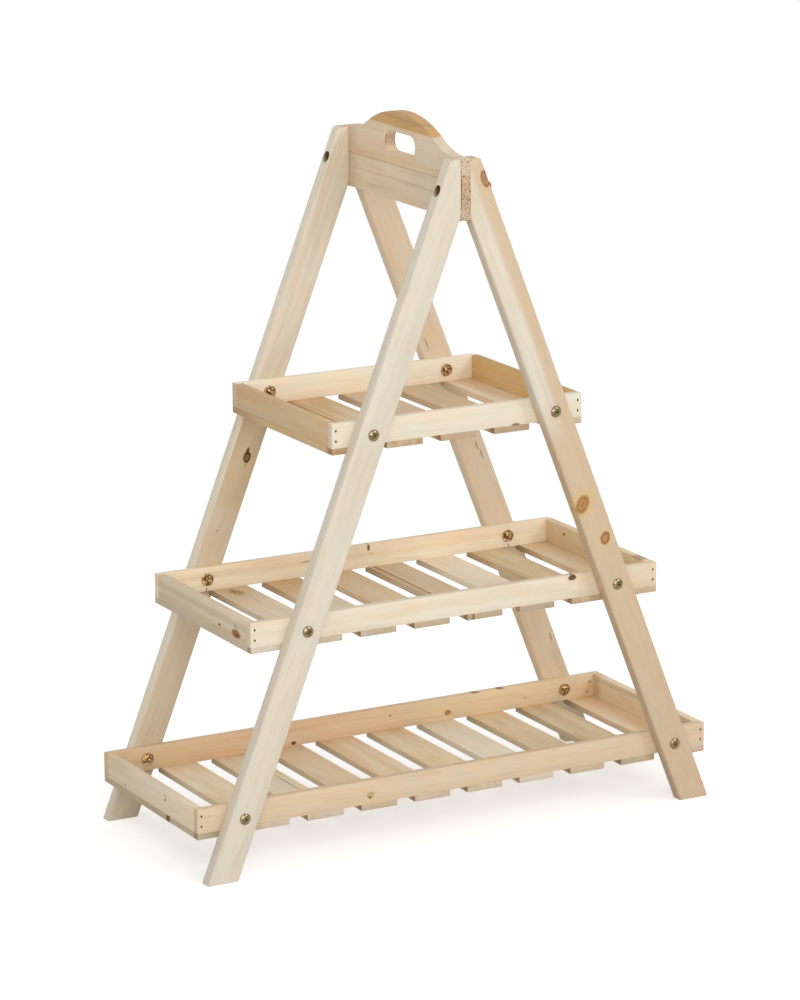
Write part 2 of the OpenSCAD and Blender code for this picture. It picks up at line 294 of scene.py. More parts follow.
def sanded_fir(name, kind, centre, **own_look):
    """Sanded, unfinished fir: matt, with soft year rings, fine fibres and darker end grain."""
    look = dict(PLAIN_BOARD, **own_look)
    colours = bpy.context.scene.fir_colours
    tone = {key: (*getattr(colours, key), 1) for key in own_fields(colours)}
    material, add = begin_material("sanded_fir_" + name)
    turn = lies(kind)
    seed, light = look["seed"], look["light"]
    board = add("Mapping", Vector=add("TexCoord", out="Object"), Location=-(turn @ Vector(centre)) / MM,
                Rotation=turn.to_euler(), Scale=(1 / MM,) * 3)
    own = add("VectorMath", board, (31.7 * seed, 17.3 * seed, 711.0 * seed), operation="ADD")

    def distance(across, along, half_width, half_length, lean=0):
        """How far a point is from a spot on the board, where the spot's rim counts as 1."""
        apart = add("Mapping", Vector=board, Location=(across, 0, along),
                    Rotation=(0, math.radians(lean), 0), Scale=(half_width, 1e6, half_length),
                    vector_type="TEXTURE")
        return add("VectorMath", apart, operation="LENGTH")

    # The rings wave gently along the board
    wave = streaks(add, own, 34, 230, 2.5).node.outputs["Color"]
    wave = add("VectorMath", wave, (0.5, 0.5, 0.5), operation="SUBTRACT")
    wave = add("VectorMath", wave, (look["wander"], look["wander"], 0), operation="MULTIPLY")
    bent = add("VectorMath", board, wave, operation="ADD")
    lengths = add("SeparateXYZ", bent).node.outputs

    # Distance from the pith line in rings, pushed outwards round each knot
    from_pith = add("Mapping", Vector=bent, Rotation=(*look["tilt"], 0),
                    Location=(-look["pith"][0], -look["pith"][1], 0))
    from_pith = add("VectorMath", from_pith, (1, 1, 0), operation="MULTIPLY")
    radius = add("VectorMath", from_pith, operation="LENGTH")
    rings = add("Math", radius, look["ring"], operation="DIVIDE")
    uneven = streaks(add, own, 10, 240, 1.0)
    rings = add("Math", uneven, 2.2, rings, operation="MULTIPLY_ADD")
    ragged = add("TexNoise", Vector=own, Scale=0.25, Detail=3.0, Roughness=0.6)
    ragged = add("MapRange", ragged, 0.2, 0.8, -0.13, 0.13)
    knots = []
    for across, along, half_width, half_length, sort, *lean in look["knots"]:
        apart = distance(across, along, half_width, half_length, *lean)
        push = add("Math", apart, 2.0, operation="POWER")
        push = add("Math", push, 0.6, operation="ADD")
        push = add("Math", 1.6 * half_width / look["ring"], push, operation="DIVIDE")
        rings = add("Math", rings, push, operation="ADD")
        knots.append((add("Math", apart, ragged, operation="ADD"), sort))
    line = add("ValToRGB", add("Math", rings, operation="FRACT"))
    stops = line.node.color_ramp.elements
    for stop, position in zip(stops, (0.0, 1.0)):
        stop.position, stop.color = position, (RING_JOIN, RING_JOIN, RING_JOIN, 1)
    for position, value in RING_STOPS:
        stops.new(position).color = (value, value, value, 1)
    strong = add("MapRange", streaks(add, own, 12, 70), 0.4, 0.7)
    line = add("Math", line, strong, operation="MULTIPLY")
    fibre = streaks(add, own, 1.2, 26, 3.0, 0.62)

    def stripe(middle, half, strength, soft, slope=0):
        mask = add("Math", lengths["Y"], slope, -middle, operation="MULTIPLY_ADD")
        mask = add("Math", lengths["X"], mask, operation="ADD")
        mask = add("Math", mask, operation="ABSOLUTE")
        return add("MapRange", mask, half + soft, half - soft, 0.0, strength, **SMOOTH)

    # Colour: broad streaks, stripes of heartwood, warm and cool clouds, ring lines, fibres
    broad = add("MapRange", streaks(add, own, 16, 210), 0.36, 0.64, 0.0, look["streaky"], **SMOOTH)
    colour = add("Mix", broad, tone[look["base"]], tone[look["blend"]], **COLOURS)
    for shade, first, last, strength in look["turns"]:
        mask = add("MapRange", lengths["Z"], first, last, 0.0, strength, **SMOOTH)
        colour = add("Mix", mask, colour, tone[shade], **COLOURS)
    for shade, *shape in look["bands"]:
        colour = add("Mix", stripe(*shape), colour, tone[shade], **COLOURS)
    cloud = add("MapRange", streaks(add, own, 20, 48), 0.32, 0.68)
    warm, cool = [(*(1 + look["hues"] * part for part in parts), 1) for parts in (WARM, COOL)]
    cloud = add("Mix", cloud, warm, cool, **COLOURS)
    colour = add("VectorMath", colour, cloud, operation="MULTIPLY")
    mask = add("Math", line, look["lines"], operation="MULTIPLY")
    colour = add("Mix", mask, colour, tone["late"], **COLOURS)
    value = add("MapRange", fibre, 0.25, 0.75, 0.94 * light, 1.035 * light)
    colour = add("VectorMath", colour, Scale=value, operation="SCALE")

    # Knots have rings of their own, a darker rim and heart, and warm wood round them
    for apart, sort in knots:
        heart, other, edge, rim, halo, count, soft = KNOT_SORTS[sort]
        mask = add("MapRange", apart, 2.7, 0.7, 0.0, halo, **SMOOTH)
        colour = add("Mix", mask, colour, tone["amber"], **COLOURS)
        inner = add("Math", apart, count, operation="MULTIPLY")
        inner = add("Math", inner, 1.0, operation="PINGPONG")
        inner = add("Mix", inner, tone[heart], tone[other], **COLOURS)
        mask = add("MapRange", apart, 1.02 + soft, 1.02 - soft, 0.0, 0.92, **SMOOTH)
        colour = add("Mix", mask, colour, inner, **COLOURS)
        mask = add("Math", apart, 0.95, operation="SUBTRACT")
        mask = add("Math", mask, operation="ABSOLUTE")
        mask = add("MapRange", mask, 0.12 + soft, 0.0, 0.0, rim, **SMOOTH)
        colour = add("Mix", mask, colour, tone[edge], **COLOURS)
    for *place, strength in look["marks"]:
        mask = add("MapRange", distance(*place), 1.25, 0.6, 0.0, strength, **SMOOTH)
        colour = add("Mix", mask, colour, tone["bark"], **COLOURS)

    # End grain takes in more light, so it is darker and shows pores; rough sides are darker too, and get
    # painted shade along the board and painted shadow under the front rail
    normal = add("TexCoord", out="Normal")

    def faces(way):
        facing = add("VectorMath", normal, way, operation="DOT_PRODUCT")
        return add("MapRange", add("Math", facing, operation="ABSOLUTE"), 0.7, 0.95)

    reach = add("Math", lengths["Z"], operation="ABSOLUTE")
    closed = (look["closed"] - 20, look["closed"])
    ends = add("MapRange", reach, *closed, 1.0, 1 - look["pores"])
    # Inside that middle, as on the hand hole's walls, end grain gets painted shade
    hole = add("MapRange", reach, *closed, 0.72, 1.0)
    pores = add("TexNoise", Vector=own, Scale=0.6, Detail=2.0)
    pores = add("MapRange", pores, 0.36, 0.46, ends, 1.0)
    pores = add("Math", pores, hole, operation="MULTIPLY")
    sawn = colour
    for shade, *shape in look["end_bands"]:
        sawn = add("Mix", stripe(*shape), sawn, tone[shade], **COLOURS)
    sawn = add("VectorMath", sawn, look["end_tone"], operation="MULTIPLY")
    sawn = add("VectorMath", sawn, Scale=pores, operation="SCALE")
    colour = add("Mix", faces(turn[2]), colour, sawn, **COLOURS)
    if look["sides"]:
        first, last, strength = look["sides"]
        # Painted shade on the rough sides, deepening along the board
        mask = add("MapRange", lengths["Z"], first, last, 0.05, strength)
        # Painted shadow of the front rail over the front ends of the sides
        rail_shadow = add("MapRange", lengths["Z"], *RAIL_SHADOW_ON_SIDES[:2], 0.0, RAIL_SHADOW_ON_SIDES[2])
        mask = add("Math", mask, rail_shadow, operation="MAXIMUM")
        mask = add("Math", mask, faces(turn[0]), operation="MULTIPLY")
        colour = add("Mix", mask, colour, tone["shade"], **COLOURS)

    height = add("Math", line, 0.5, fibre, operation="MULTIPLY_ADD")
    bump = add("Bump", Strength=0.35, Distance=0.4 * MM, Height=height)
    rough = add("MapRange", fibre, 0.2, 0.8, 0.74, 0.58)
    wood = add("BsdfPrincipled", Base_Color=colour, Roughness=rough, Normal=bump, Specular_IOR_Level=0.3)
    add("OutputMaterial", Surface=wood)
    return material


def zinc_plated(name, plain, patch, roughness):
    """Zinc-plated steel: cloudy yellow patches, fine scratches darkened with oil, and painted shade in the
    crevices that the piece marks.
    """
    material, add = begin_material(name)
    place = add("VectorMath", add("TexCoord", out="Object"), (1 / MM,) * 3, operation="MULTIPLY")
    # The plating clouds over a few mm, and its scratches are under a millimetre apart
    cloud = add("MapRange", add("TexNoise", Vector=place, Scale=0.28, Detail=2.0), 0.35, 0.65)
    scratch = add("TexNoise", Vector=place, Scale=1.3, Detail=3.0)
    colour = add("Mix", cloud, (*plain, 1), (*patch, 1), **COLOURS)
    oil_and_shade = add("MapRange", scratch, 0.55, 0.72, 0.0, 0.75)
    # Painted shade in the grooves, threads, sockets and rims, as the piece marks it
    grime = add("Attribute", out="Fac", attribute_name="grime")
    oil_and_shade = add("Math", oil_and_shade, grime, operation="MAXIMUM")
    shade = (*bpy.context.scene.hardware_colours.shade, 1)
    colour = add("Mix", oil_and_shade, colour, shade, **COLOURS)
    rough = add("MapRange", scratch, 0.3, 0.7, roughness - 0.06, roughness + 0.1)
    bump = add("Bump", Strength=0.35, Distance=0.15 * MM, Height=scratch)
    steel = add("BsdfPrincipled", Base_Color=colour, Metallic=1.0, Roughness=rough, Normal=bump)
    add("OutputMaterial", Surface=steel)
    return material


# ---------------------------------------------------------------- modelling tools

def edit(piece, mode="EDIT"):
    """Makes one piece the only one selected, and goes into edit mode with nothing picked."""
    if bpy.context.object and bpy.context.object.mode != "OBJECT":
        bpy.ops.object.mode_set(mode="OBJECT")
    bpy.ops.object.select_all(action="DESELECT")
    bpy.context.view_layer.objects.active = piece
    piece.select_set(True)
    if mode == "EDIT":
        bpy.ops.object.mode_set(mode="EDIT")
        bpy.ops.mesh.select_all(action="DESELECT")


def pick(piece, kind, test):
    """In edit mode, picks just the faces, edges or corners that pass the test."""
    bpy.ops.mesh.select_mode(type=kind)
    bpy.ops.mesh.select_all(action="DESELECT")
    mesh = bmesh.from_edit_mesh(piece.data)
    for part in {"FACE": mesh.faces, "EDGE": mesh.edges, "VERT": mesh.verts}[kind]:
        part.select_set(test(part))
    mesh.select_flush_mode()
    bmesh.update_edit_mesh(piece.data)


def all_near(edge, point, normal, reach=0.05 * MM):
    """True where both ends of an edge lie in the plane."""
    return all(abs((corner.co - Vector(point)).dot(normal)) < reach for corner in edge.verts)


def set_in_mesh():
    """Moves the selected piece's place, turn and size into its mesh."""
    bpy.ops.object.transform_apply(location=True, rotation=True, scale=True)


def leave(piece, smooth=35):
    """Back to object mode, with all placing in the mesh and soft shading across small angles."""
    edit(piece, "OBJECT")
    set_in_mesh()
    bpy.ops.object.shade_smooth_by_angle(angle=math.radians(smooth))
    return piece


def apply_modifiers(piece):
    edit(piece, "OBJECT")
    for modifier in list(piece.modifiers):
        bpy.ops.object.modifier_apply(modifier=modifier.name)


def fresh(kind, name=None, **settings):
    """One new primitive, the only piece selected, to be shaped further."""
    bpy.ops.object.select_all(action="DESELECT")
    getattr(bpy.ops.mesh, f"primitive_{kind}_add")(**settings)
    piece = bpy.context.object
    if name:
        piece.name = piece.data.name = name
    set_in_mesh()
    return piece


def block(name, extent, middle=(0, 0, 0)):
    """A planed block of the given size."""
    piece = fresh("cube", name, size=1)
    piece.scale = extent
    piece.location = middle
    set_in_mesh()
    return piece


def cut_away(piece, cutter, operation="DIFFERENCE"):
    """Takes the cutter's shape out of the piece, or keeps just what it holds, and throws it away."""
    edit(piece, "OBJECT")
    modifier = piece.modifiers.new("cut", "BOOLEAN")
    modifier.object = cutter
    modifier.operation = operation
    modifier.solver = "EXACT"
    apply_modifiers(piece)
    bpy.data.objects.remove(cutter)


def drill(piece, start, end, diameter, sides=32):
    """Bores a straight hole from one point to another."""
    start, end = Vector(start), Vector(end)
    run = end - start
    cut_away(piece, fresh("cylinder", vertices=sides, radius=diameter / 2, depth=run.length,
                          location=(start + end) / 2, rotation=run.to_track_quat("Z", "Y").to_euler()))


def bore(piece, places, diameter, depth):
    """Bores equal holes in one go; each place puts a hole's mouth at its origin and runs it down its -Z."""
    bit = fresh("cylinder", vertices=16, radius=diameter / 2, depth=2 * depth)
    cut_away(piece, copies(bit, "bits", places))


def planed(node, ease):
    """A planed board the size of its CAD node, with its sharp edges taken off."""
    low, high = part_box(node)
    piece = block(node + "_timber", high - low, (low + high) / 2)
    edit(piece)
    bpy.ops.mesh.select_all(action="SELECT")
    bpy.ops.mesh.bevel(offset=ease, segments=2, affect="EDGES")
    return leave(piece)


def shade_crevices(piece, amount):
    """Stores how much painted shade each corner of a piece gets in its crevices, for its material to read."""
    layer = piece.data.attributes.new("grime", "FLOAT", "POINT")
    for number, corner in enumerate(piece.data.vertices):
        layer.data[number].value = amount(math.hypot(corner.co.x, corner.co.y), corner.co.z)
    return piece


def turned(name, profile, sides=40):
    """Turns a profile of (radius, height) points round the upright axis, as on a lathe."""
    piece = fresh("plane", name, size=MM)
    edit(piece)
    bpy.ops.mesh.select_all(action="SELECT")
    bpy.ops.mesh.merge(type="CENTER")
    radius, height = profile[0]
    bpy.ops.transform.translate(value=(radius, 0, height))
    for (r0, h0), (r1, h1) in zip(profile, profile[1:]):
        bpy.ops.mesh.extrude_region_move(TRANSFORM_OT_translate={"value": (r1 - r0, 0, h1 - h0)})
    bpy.ops.mesh.select_all(action="SELECT")
    bpy.ops.mesh.spin(steps=sides, angle=2 * math.pi, center=(0, 0, 0), axis=(0, 0, 1))
    bpy.ops.mesh.select_all(action="SELECT")
    bpy.ops.mesh.remove_doubles(threshold=0.002 * MM)
    bpy.ops.mesh.normals_make_consistent(inside=False)
    return leave(piece)


def copies(pattern, name, places):
    """Copies of one modelled pattern, each with its own mesh moved to its place, joined as one piece."""
    made = []
    for number, place in enumerate(places, 1):
        copy = bpy.data.objects.new(f"{name}_{number}", pattern.data.copy())
        copy.data.transform(place)
        bpy.context.scene.collection.objects.link(copy)
        made.append(copy)
    bpy.data.objects.remove(pattern)
    bpy.ops.object.select_all(action="DESELECT")
    for copy in made:
        copy.select_set(True)
    bpy.context.view_layer.objects.active = made[0]
    bpy.ops.object.join()
    made[0].name = made[0].data.name = name
    return made[0]


def settle(piece, material, slot, *nodes):
    """Gives a finished piece its material, and puts it on the stand in place of its CAD nodes; the slot is
    not used.
    """
    piece.data.materials.clear()
    piece.data.materials.append(material)
    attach(piece, "root")
    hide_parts(*nodes)
    return piece


def middle_of(node):
    low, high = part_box(node)
    return (low + high) / 2


# ---------------------------------------------------------------- legs

LEG_LOOKS = {
    "front_left_leg": dict(
        base="cream", blend="grey", streaky=0.35, lines=0.12, ring=9.0, pith=(-60, 25), hues=0.4,
        light=0.945, seed=1),
    "front_right_leg": dict(
        base="cream", blend="grey", lines=0.14, ring=9.0, pith=(-34, 40), hues=0.7, light=0.95, seed=2,
        turns=[("buff", 650, 560, 0.92), ("rose", 860, 940, 0.5)],
        # The shade band at -23 is painted shade on the narrow face that looks down and to the left
        bands=[("buff", 13, 11, 0.9, 5), ("shade", -23, 3.0, 0.12, 1.0)],
        knots=[(17, 959, 5.5, 10.5, "dull"), (-9, 480, 9, 12.2, "live", 43),
               (5.5, 419, 6.5, 8.5, "rosy", 30)],
        marks=[(21, 14, 2.2, 3.5, 0.8), (20, 967, 0.9, 5, 0.6)]),
    "back_left_leg": dict(
        base="grey", blend="cream", lines=0.22, pith=(20, -40), light=1.02, seed=3,
        turns=[("tan", 650, 600, 0.75), ("grey", 470, 430, 0.6)],
        bands=[("cream", 22, 3, 0.85, 1.5)],
        knots=[(-4.6, 524, 5.0, 7, "dead", 8)],
        marks=[(-2.6, 532, 2.4, 6, 0.95), (-6.4, 513, 2.5, 5, 0.22), (3.4, 416, 0.9, 2.2, 0.6)]),
    "back_right_leg": dict(
        base="rose", blend="grey", lines=0.22, pith=(30, 36), light=1.06, seed=4,
        marks=[(8.2, 490, 0.9, 8, 0.7), (10.8, 475, 0.9, 8, 0.75), (-9.7, 664, 0.9, 9, 0.6),
               (13.4, 170, 0.9, 7, 0.7)]),
}


def leg_name(side, face):
    return f"{FACE_NAMES[face]}_{SIDE_NAMES[side]}_leg"


def leg_centre(sizes, side, height):
    """A point on a leg's centre line, seen from the front."""
    return side * (sizes.half_spread - height * math.tan(sizes.lean))


def model_leg(sizes, side, face):
    """One leg: planed stock, leaned over, cut level at foot and top and mitred on the handle board."""
    name = leg_name(side, face)
    low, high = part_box(name)
    leg = block(name + "_timber", (sizes.width, sizes.thickness, high.z / math.cos(sizes.lean) + SPARE))
    leg.rotation_euler = (0, -side * sizes.lean, 0)
    half_up = high.z / 2
    leg.location = (leg_centre(sizes, side, half_up), (low.y + high.y) / 2, half_up)
    set_in_mesh()
    mitre = min(abs(low.x), abs(high.x))
    cuts = (((0, 0, 0), (0, 0, -1)), ((0, 0, high.z), (0, 0, 1)), ((side * mitre, 0, 0), (-side, 0, 0)))
    edit(leg)
    for point, outwards in cuts:
        bpy.ops.mesh.select_all(action="SELECT")
        bpy.ops.mesh.bisect(plane_co=point, plane_no=outwards, use_fill=True, clear_outer=True)
    # Round of the outer top corner, then the long edges, then a light touch on the sawn ends
    corner_x = leg_centre(sizes, side, high.z) + side * sizes.width / 2 / math.cos(sizes.lean)
    pick(leg, "EDGE", lambda e: all(abs(v.co.z - high.z) < 0.1 * MM and abs(v.co.x - corner_x) < 1 * MM
                                    for v in e.verts))
    bpy.ops.mesh.bevel(offset=sizes.corner, segments=4, affect="EDGES")
    along = Vector((-side * math.sin(sizes.lean), 0, math.cos(sizes.lean)))
    pick(leg, "EDGE", lambda e: abs((e.verts[1].co - e.verts[0].co).normalized().dot(along)) > 0.999)
    bpy.ops.mesh.bevel(offset=sizes.ease, segments=4, affect="EDGES")
    pick(leg, "EDGE", lambda e: any(all_near(e, point, Vector(out)) for point, out in cuts)
         and abs(e.calc_face_angle(0)) > math.radians(25))
    bpy.ops.mesh.bevel(offset=sizes.end_ease, segments=2, affect="EDGES", clamp_overlap=True)
    return leave(leg)


class StandLegs(bpy.types.Operator):
    """Models the four legs with their bores and gives them their fir"""
    bl_idname = "plant_stand.legs"
    bl_label = "Legs"

    def execute(self, context):
        sizes = context.scene.leg_sizes
        hardware = context.scene.hardware_sizes
        # Painted shade for the walls of the bores, darkest past the mouths
        bore_shade = sanded_fir("bore_walls", "rail", (0, 0, 0), base="olive", blend="tan", light=0.9, seed=5,
                           turns=[("bark", -38, -32.5, 0.75), ("olive", 33, 34.3, 1.0)])
        height = middle_of("handle_bolts").z
        seats = {LEFT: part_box("handle_bolts")[0].x + hardware.head_height,
                 RIGHT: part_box("handle_washers")[0].x}
        for side in (LEFT, RIGHT):
            for face in (FRONT, BACK):
                leg = model_leg(sizes, side, face)
                name = leg_name(side, face)
                across = middle_of(name).y
                seat = seats[side]
                drill(leg, (seat, across, height), (seat + side * SPARE, across, height),
                      sizes.counterbore)
                drill(leg, (0, across, height), (side * SPARE, across, height),
                      hardware.bolt + CLEARANCE, 24)
                leave(leg)
                foot = (side * sizes.half_spread, across, 0)
                wood = sanded_fir(name, SIDE_NAMES[side] + "_leg", foot, **LEG_LOOKS[name])
                settle(leg, wood, "leg_timber", name)
                # The walls of the bores get painted shade, dark inside and paler near the mouths
                leg.data.materials.append(bore_shade)
                for wall in leg.data.polygons:
                    out = math.hypot(wall.center.y - across, wall.center.z - height)
                    if out < 0.51 * sizes.counterbore:
                        wall.material_index = 1
        return {"FINISHED"}


# ---------------------------------------------------------------- handle board

# The last end band darkens one edge of the end grain
HANDLE_LOOK = dict(
    base="rose", blend="buff", light=1.08, lines=0.3, ring=10.0, pith=(70, 60), tilt=(0.01, 0.06),
    seed=9, streaky=0.6, pores=0.85, closed=140, end_tone=(0.89, 0.83, 0.82),
    bands=[("honey", 88.5, 30, 0.8, 1.5), ("late", 88.5, 30, 0.25, 1.5), ("honey", 62, 3.5, 0.6, 2),
           ("late", 70, 1.5, 0.5, 1.5), ("amber", 14, 4, 0.5, 4), ("late", 7, 1.3, 0.45, 1.3),
           ("late", -13, 1, 0.3, 1.2)],
    # The late turn at the back end is painted shade where the board meets the back left leg
    turns=[("late", 105, 142, 0.3), ("grey", -30, -90, 0.5)],
    end_bands=[("tan", -12, 18, 0.8, 6), ("salmon", 6, 5, 0.5, 4), ("knot", -6300, 900, 0.7, 400, 1000)])


class StandHandleBoard(bpy.types.Operator):
    """Models the top board with its round crown, hollow shoulders and slotted hand hole"""
    bl_idname = "plant_stand.handle_board"
    bl_label = "Handle board"

    def execute(self, context):
        sizes = context.scene.handle_sizes
        low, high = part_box("handle_board")
        end_top = low.z + sizes.end_height
        middle = (0, 0, low.z + sizes.end_height / 2)
        half = high.y
        # Two arcs that meet at one slope: the crown, and the hollow shoulders beside it
        crown_middle = high.z - sizes.crown_radius
        shoulder = half - sizes.shoulder_flat
        slope = 2 * math.atan((high.z - end_top) / shoulder)
        hollow = shoulder / math.sin(slope) - sizes.crown_radius
        meet = sizes.crown_radius * math.sin(slope)

        def top_at(y):
            y = abs(y)
            if y < meet:
                return crown_middle + math.sqrt(sizes.crown_radius ** 2 - y * y)
            if y < shoulder:
                return end_top + hollow - math.sqrt(hollow ** 2 - (shoulder - y) ** 2)
            return end_top

        board = block("handle_board_timber", (sizes.thickness, 2 * half, sizes.end_height), middle)
        edit(board)
        pick(board, "EDGE", lambda e: abs(e.verts[1].co.y - e.verts[0].co.y) > half)
        bpy.ops.mesh.subdivide(number_cuts=87)
        mesh = bmesh.from_edit_mesh(board.data)
        for corner in mesh.verts:
            if corner.co.z > middle[2]:
                corner.co.z = top_at(corner.co.y)
        bmesh.update_edit_mesh(board.data)
        bpy.ops.object.mode_set(mode="OBJECT")

        # The slot is cut with a round cutter drawn out to both sides
        run = (sizes.hole_width - sizes.hole_height) / 2
        cutter = fresh("cylinder", vertices=64, radius=sizes.hole_height / 2, depth=SPARE,
                       location=(0, 0, low.z + sizes.hole_up), rotation=(0, math.pi / 2, 0))
        edit(cutter)
        seam = 0.01 * MM
        for way, beyond in ((-1, lambda v: v.co.y < seam), (1, lambda v: v.co.y > seam)):
            pick(cutter, "VERT", beyond)
            bpy.ops.transform.translate(value=(0, way * run, 0))
        bpy.ops.object.mode_set(mode="OBJECT")
        cut_away(board, cutter)
        ease = board.modifiers.new("eased edges", "BEVEL")
        ease.width = sizes.ease
        ease.segments = 3
        ease.limit_method = "ANGLE"
        ease.angle_limit = math.radians(50)
        apply_modifiers(board)
        leave(board)
        # A thin dark mark at each joint with the legs
        joint = (half - context.scene.leg_sizes.thickness) / MM - 0.4
        wood = sanded_fir("handle_board", "end", middle, **HANDLE_LOOK,
                          marks=[(0, joint, 60, 0.7, 0.55), (0, -joint, 60, 0.7, 0.55)])
        settle(board, wood, "handle_timber", "handle_board")
        return {"FINISHED"}


# ---------------------------------------------------------------- trays

# Lightness above 1, as on the back rails and the ends, is partly painted light that lifts their shade
RAIL_LOOKS = {
    "bottom_tray_front_rail": dict(
        base="rose", blend="peach", light=0.98, seed=11, lines=0.2,
        knots=[(-4, -135, 2.8, 4.2, "faded"), (-7.5, -136, 1.4, 2.0, "dark")]),
    "bottom_tray_back_rail": dict(
        base="peach", blend="salmon", light=1.13, seed=12, lines=0.25, hues=0.6,
        turns=[("tan", -220, -320, 0.6), ("straw", 20, 120, 0.6)],
        knots=[(-5.5, 139, 3.2, 4.2, "rosy"), (-12.5, -107, 2.2, 3.2, "dark")],
        marks=[(16.5, 185, 0.6, 7, 0.6), (16.5, 226, 0.6, 6, 0.7), (4, 46, 1.5, 2, 0.7),
               (-3, 266, 3, 4, 0.2), (5, 374, 2.5, 2.5, 0.5), (-9, 370, 2.5, 3.5, 0.4)]),
    "middle_tray_front_rail": dict(
        base="cream", blend="straw", light=1.02, seed=13, lines=0.1,
        turns=[("peach", 181, 190, 0.5)], knots=[(12.8, 176, 3.4, 5.4, "dark")]),
    "middle_tray_back_rail": dict(
        base="ivory", blend="rose", light=1.17, seed=14, lines=0.2, turns=[("ivory", 240, 275, 0.8)],
        bands=[("ivory", -10, 7, 0.9, 3), ("honey", 3, 3, 0.15, 3), ("peach", 12, 5, 0.25, 2)],
        marks=[(12, 13, 5, 2.2, 0.9), (3.5, 17, 2.5, 3.5, 0.18), (-14, 238, 3, 0.8, 0.9),
               (-14, -238, 4, 0.8, 0.9), (-11, 330, 2, 0.8, 0.6), (5, -85, 1.4, 12, 0.35)]),
    "top_tray_front_rail": dict(
        base="cream", blend="ivory", seed=15, lines=0.12, knots=[(-15.5, 87, 1.6, 4.5, "red")]),
    "top_tray_back_rail": dict(
        base="cream", blend="ivory", light=1.19, seed=16, lines=0.12, end_bands=[("tan", 0, 40, 0.8, 1)]),
}
END_LOOKS = {
    "bottom_tray_left_end": dict(
        base="straw", blend="cream", light=1.04, seed=21, lines=0.2,
        marks=[(-12, 76, 1.5, 1.5, 0.7), (9, -46, 1.3, 2.6, 0.6), (6, -49.5, 2.2, 1.5, 0.65),
               (2.7, -47, 1.6, 2.8, 0.7)]),
    "bottom_tray_right_end": dict(
        base="ivory", blend="peach", light=1.17, seed=22, knots=[(-2, 142, 3, 5, "red")],
        turns=[("tan", 108, 124, 0.6), ("rose", 0, -80, 0.6)], bands=[("olive", 11, 3.5, 0.5, 3)]),
    "middle_tray_left_end": dict(
        base="rose", blend="grey", light=1.04, seed=23, lines=0.3,
        bands=[("olive", 4, 4, 0.6, 3), ("olive", -12, 5, 0.5, 4)],
        knots=[(-7.8, -101.5, 4.5, 10, "red")],
        marks=[(-7, -53, 2.1, 3.4, 0.85), (2, -98, 4, 1.2, 0.75), (1, -104, 3, 1, 0.6),
               (-9.3, -103.5, 1.8, 4, 0.85)]),
    "middle_tray_right_end": dict(
        base="straw", blend="peach", light=1.13, seed=24,
        knots=[(5.2, 83.4, 1.5, 3, "red")], marks=[(16.5, -110, 2.5, 14, 0.45)]),
    "top_tray_left_end": dict(base="tan", blend="honey", light=1.1, seed=25, streaky=0.35, lines=0.25),
    "top_tray_right_end": dict(
        base="amber", blend="peach", light=1.15, seed=26, lines=0.25,
        turns=[("honey", 60, 120, 0.2)], sides=(-200, -190, 0.4)),
}
# Main colour, streaks and lightness of each slat, from the left; lightness above 1 is partly painted light
# for slats in the trays' shade
SLAT_LOOKS = {
    "bottom": ("grey olive 1.1", "straw ivory 1.16", "ivory straw 1.1", "straw rose 1.12",
               "peach ivory 1.12", "straw ivory 1.16", "cream ivory 1.17", "rose straw 1.15",
               "straw tan 1.06", "peach ivory 1.17"),
    "middle": ("cream ivory 1.19", "ivory rose 1.06", "straw cream 1.07", "straw peach 1.06",
               "straw ivory 1.05", "ivory cream 1.18", "tan straw 1.14", "peach straw 1.13"),
    "top": ("tan honey 1.1", "straw honey 1.09", "peach rose 1.0", "tan buff 1.06", "peach ivory 1.13"),
}
# What single slats have besides
SLAT_MARKS = {
    "bottom_tray_slat_1": dict(knots=[(-27, -55, 3, 4.5, "dark")], sides=(-200, -190, 0.35)),
    "bottom_tray_slat_3": dict(marks=[(13, -8, 0.9, 36, 0.8)]),
    "bottom_tray_slat_10": dict(turns=[("rose", 0, -80, 0.7)]),
    "middle_tray_slat_1": dict(sides=(-200, -190, 0.5)),
    "middle_tray_slat_2": dict(
        turns=[("tan", 10, 110, 0.6)], knots=[(-3, 110, 6.5, 14, "faded")],
        marks=[(-4, 113, 1.8, 9, 0.75), (1, 108, 1.3, 7, 0.65), (6, 104, 1.4, 6, 0.55)]),
    "middle_tray_slat_3": dict(turns=[("honey", 0, 100, 0.6)]),
    "middle_tray_slat_5": dict(
        turns=[("rose", 20, -60, 0.6)],
        bands=[("tan", -24, 6, 0.7, 2), ("tan", 8, 20, 0.35, 2), ("shade", -18, 1.7, 0.85, 1.2)]),
    "middle_tray_slat_6": dict(end_tone=(0.5, 0.45, 0.42)),
}


def corner_nail_places(rail, sunk):
    """Where the nails of one rail's corners sit, with +Z pointing out of the rail's outer face."""
    low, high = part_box(rail)
    face = FRONT if "front" in rail else BACK
    outer = (low.y if face == FRONT else high.y) - face * sunk
    return [Matrix.Translation((end, outer, (low.z + high.z) / 2 + up * CORNER_GAP / 2))
            @ Matrix.Rotation(-face * math.pi / 2, 4, "X")
            for end in (low.x + CORNER_IN, high.x - CORNER_IN) for up in (-1, 1)]


